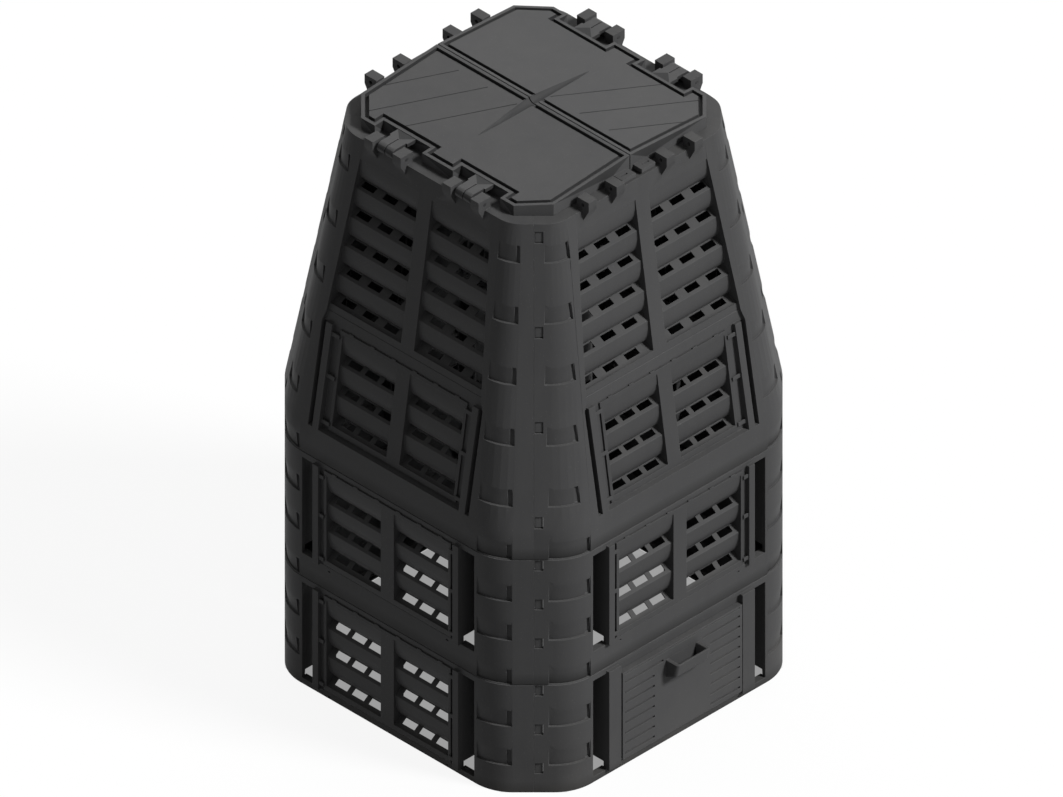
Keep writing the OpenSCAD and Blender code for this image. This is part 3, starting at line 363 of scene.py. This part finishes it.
# Ejector marks: the faint round marks that the mould's ejector pins leave in
# rows on the hidden side of a moulding, here under the lid flaps and behind
# the door. One node tree drops a grid of them on the CAD surface.
marks_tree = bpy.data.node_groups.new("ejector_marks", "GeometryNodeTree")
marks_tree.interface.new_socket("Geometry", in_out="OUTPUT", socket_type="NodeSocketGeometry")
mark_inputs = {}
for label, kind in (("Piece", "NodeSocketObject"), ("Middle", "NodeSocketVector"),
                    ("Turn", "NodeSocketVector"), ("Aim", "NodeSocketVector"),
                    ("Width", "NodeSocketFloat"), ("Length", "NodeSocketFloat"),
                    ("Columns", "NodeSocketInt"), ("Rows", "NodeSocketInt"),
                    ("Radius", "NodeSocketFloat"), ("Lift", "NodeSocketFloat"),
                    ("Skin", "NodeSocketMaterial")):
    socket = marks_tree.interface.new_socket(label, in_out="INPUT", socket_type=kind)
    mark_inputs[label] = socket.identifier
m_in = marks_tree.nodes.new("NodeGroupInput")
m_out = marks_tree.nodes.new("NodeGroupOutput")
m_grid = marks_tree.nodes.new("GeometryNodeMeshGrid")
m_place = marks_tree.nodes.new("GeometryNodeTransform")
m_target = marks_tree.nodes.new("GeometryNodeObjectInfo")
m_ray = add(marks_tree, "GeometryNodeRaycast", Ray_Length=0.5)
m_keep_way = marks_tree.nodes.new("GeometryNodeStoreNamedAttribute")
m_keep_way.data_type = "FLOAT_VECTOR"
m_keep_way.inputs["Name"].default_value = "way"
m_missed = add(marks_tree, "FunctionNodeBooleanMath", "NOT")
m_drop = marks_tree.nodes.new("GeometryNodeDeleteGeometry")
m_land = marks_tree.nodes.new("GeometryNodeSetPosition")
m_way = marks_tree.nodes.new("GeometryNodeInputNamedAttribute")
m_way.data_type = "FLOAT_VECTOR"
m_way.inputs["Name"].default_value = "way"
m_stand = marks_tree.nodes.new("FunctionNodeAlignRotationToVector")
m_disc = add(marks_tree, "GeometryNodeMeshCylinder", Vertices=24)
m_copy = marks_tree.nodes.new("GeometryNodeInstanceOnPoints")
m_real = marks_tree.nodes.new("GeometryNodeRealizeInstances")
m_skin = marks_tree.nodes.new("GeometryNodeSetMaterial")
wire(marks_tree, (m_in, "Width", m_grid, "Size X"), (m_in, "Length", m_grid, "Size Y"),
     (m_in, "Columns", m_grid, "Vertices X"), (m_in, "Rows", m_grid, "Vertices Y"),
     (m_grid, "Mesh", m_place, "Geometry"), (m_in, "Middle", m_place, "Translation"),
     (m_in, "Turn", m_place, "Rotation"), (m_in, "Piece", m_target, "Object"),
     (m_target, "Geometry", m_ray, "Target Geometry"), (m_in, "Aim", m_ray, "Ray Direction"),
     (m_place, "Geometry", m_keep_way, "Geometry"), (m_ray, "Hit Normal", m_keep_way, "Value"),
     (m_keep_way, "Geometry", m_drop, "Geometry"), (m_drop, "Geometry", m_land, "Geometry"),
     (m_ray, "Hit Position", m_land, "Position"), (m_way, "Attribute", m_stand, "Vector"),
     (m_in, "Radius", m_disc, "Radius"), (m_in, "Lift", m_disc, "Depth"),
     (m_land, "Geometry", m_copy, "Points"), (m_disc, "Mesh", m_copy, "Instance"),
     (m_stand, "Rotation", m_copy, "Rotation"), (m_copy, "Instances", m_real, "Geometry"),
     (m_real, "Geometry", m_skin, "Geometry"), (m_in, "Skin", m_skin, "Material"),
     (m_skin, "Geometry", m_out, "Geometry"), (m_ray, "Is Hit", m_missed, 0),
     (m_missed, "Boolean", m_drop, "Selection"))
mark_radius, mark_lift = 0.0045, 0.0006
for name, node, body, finish, skin, middle, turn, aim, width, length, columns, rows in (
        ("marks_right", "lid_flap_right", "flap_right", "lid", lid_skin,
         (0.125, centre_y, 1.1), (0.0, 0.0, 0.0), (0.0, 0.0, 1.0), 0.15, 0.42, 4, 8),
        ("marks_left", "lid_flap_left", "flap_left", "lid", lid_skin,
         (-0.125, centre_y, 1.1), (0.0, 0.0, 0.0), (0.0, 0.0, 1.0), 0.15, 0.42, 4, 8),
        ("marks_door", "harvest_door", "door", "door", door_skin,
         (0.0, -0.2, 0.122), (math.pi / 2, 0.0, 0.0), (0.0, -1.0, 0.0), 0.26, 0.15, 6, 4)):
    piece = bpy.data.objects.new(name, bpy.data.meshes.new(name))
    bpy.context.scene.collection.objects.link(piece)
    grower = piece.modifiers.new("ejector_marks", "NODES")
    grower.node_group = marks_tree
    for label, value in (("Piece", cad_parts[node]), ("Middle", middle), ("Turn", turn),
                         ("Aim", aim), ("Width", width), ("Length", length),
                         ("Columns", columns), ("Rows", rows), ("Radius", mark_radius),
                         ("Lift", mark_lift), ("Skin", skin)):
        grower[mark_inputs[label]] = value
    view = bpy.context.evaluated_depsgraph_get()
    grown = bpy.data.meshes.new_from_object(piece.evaluated_get(view), depsgraph=view)
    piece.modifiers.clear()
    piece.data = grown
    if "way" in grown.attributes:
        grown.attributes.remove(grown.attributes["way"])
    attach(piece, body)

# Hinge pins: smooth near-black plastic rods pushed through the ears of the
# rim and the fingers of the lid flaps.
pin_skin = moulded_plastic("pin_plastic", 0.03, 0.04, 0.36, on_top=0.05, at_foot=0.0, grain_size=300.0)
for side in ("right", "left"):
    for end in ("front", "back"):
        moulded_piece("hinge_pin_" + side + "_" + end, "bin", pin_skin, pin_skin, 0.0006)

# Plain pale floor, which keeps the bin's soft shadow, under a white studio.
# The octagon of it that the bin stands on glows less than the rest: painted
# shade, so that the ground seen through the air holes is grey.
floor_half = 30.0
floor_mesh = bpy.data.meshes.new("floor")
floor_mesh.from_pydata([(x * floor_half, y * floor_half, 0.0)
                        for x, y in ((-1, -1), (1, -1), (1, 1), (-1, 1))], [], [(0, 1, 2, 3)])
floor = bpy.data.objects.new("floor", floor_mesh)
bpy.context.scene.collection.objects.link(floor)
paper = bpy.data.materials.new("studio_paper")
paper.use_nodes = True
p_tree = paper.node_tree
p_shader = p_tree.nodes["Principled BSDF"]
p_shader.inputs["Base Color"].default_value = (0.25, 0.25, 0.25, 1.0)
p_shader.inputs["Roughness"].default_value = 0.9
p_glow = p_tree.nodes.new("ShaderNodeEmission")
p_at = p_tree.nodes.new("ShaderNodeTexCoord")
p_way = p_tree.nodes.new("ShaderNodeSeparateXYZ")
p_x = add(p_tree, "ShaderNodeMath", "ABSOLUTE")
p_mid = add(p_tree, "ShaderNodeMath", "SUBTRACT")
p_mid.inputs[1].default_value = centre_y
p_y = add(p_tree, "ShaderNodeMath", "ABSOLUTE")
p_far = add(p_tree, "ShaderNodeMath", "MAXIMUM")
p_sum = add(p_tree, "ShaderNodeMath", "ADD")
p_cut = add(p_tree, "ShaderNodeMath", "MULTIPLY")
corner_cut = 0.566
p_cut.inputs[1].default_value = corner_cut
p_out = add(p_tree, "ShaderNodeMath", "MAXIMUM")
# painted shade: inside the octagon under the bin the floor glows 0.46 instead of 1.26
p_under = add(p_tree, "ShaderNodeMapRange", From_Min=0.372, From_Max=0.378, To_Min=0.46, To_Max=1.26)
p_mix = p_tree.nodes.new("ShaderNodeMixShader")
p_ray = p_tree.nodes.new("ShaderNodeLightPath")
p_seen = add(p_tree, "ShaderNodeMath", "MAXIMUM")
p_any = add(p_tree, "ShaderNodeMath", "MAXIMUM")
p_half = add(p_tree, "ShaderNodeMath", "MULTIPLY")
glow_share = 0.72
p_half.inputs[1].default_value = glow_share
wire(p_tree, (p_at, "Object", p_way, "Vector"), (p_way, "X", p_x, 0), (p_way, "Y", p_mid, 0),
     (p_mid, "Value", p_y, 0), (p_x, "Value", p_sum, 0), (p_y, "Value", p_sum, 1),
     (p_sum, "Value", p_cut, 0), (p_x, "Value", p_far, 0), (p_y, "Value", p_far, 1),
     (p_far, "Value", p_out, 0), (p_cut, "Value", p_out, 1), (p_out, "Value", p_under, "Value"),
     (p_under, "Result", p_glow, "Strength"), (p_ray, "Is Camera Ray", p_seen, 0),
     (p_ray, "Is Glossy Ray", p_seen, 1), (p_seen, "Value", p_any, 0),
     (p_ray, "Is Transmission Ray", p_any, 1), (p_any, "Value", p_half, 0),
     (p_half, "Value", p_mix, "Fac"), (p_shader, "BSDF", p_mix, 1),
     (p_glow, "Emission", p_mix, 2), (p_mix, "Shader", p_tree.nodes["Material Output"], "Surface"))
floor_mesh.materials.append(paper)

# Soft studio light: a large lamp high on the harvest door's side, towards the
# right, a weak wide one from behind, and a dim even surround that is white
# where the camera sees it.
for name, energy, spread, way in (("key", 4.15, 14.0, (-0.43, 1.0, -1.05)),
                                  ("fill", 1.3, 60.0, (-1.0, -1.0, -0.35))):
    sun = bpy.data.lights.new(name, "SUN")
    sun.energy = energy
    sun.angle = math.radians(spread)
    lamp = bpy.data.objects.new(name, sun)
    bpy.context.scene.collection.objects.link(lamp)
    lamp.rotation_euler = Vector(way).to_track_quat("-Z", "Y").to_euler()
world = bpy.data.worlds.new("surround")
bpy.context.scene.world = world
world.use_nodes = True
w_tree = world.node_tree
w_back = w_tree.nodes["Background"]
w_back.inputs["Color"].default_value = (1.0, 1.0, 1.0, 1.0)
w_back.inputs["Strength"].default_value = 0.205
w_white = add(w_tree, "ShaderNodeBackground", Strength=1.0)
w_ray = w_tree.nodes.new("ShaderNodeLightPath")
w_seen = add(w_tree, "ShaderNodeMath", "MAXIMUM")
w_any = add(w_tree, "ShaderNodeMath", "MAXIMUM")
w_mix = w_tree.nodes.new("ShaderNodeMixShader")
wire(w_tree, (w_ray, "Is Camera Ray", w_seen, 0), (w_ray, "Is Glossy Ray", w_seen, 1),
     (w_seen, "Value", w_any, 0), (w_ray, "Is Transmission Ray", w_any, 1),
     (w_any, "Value", w_mix, "Fac"), (w_back, "Background", w_mix, 1), (w_white, "Background", w_mix, 2),
     (w_mix, "Shader", w_tree.nodes["World Output"], "Surface"))
bpy.context.scene.view_settings.view_transform = "Standard"
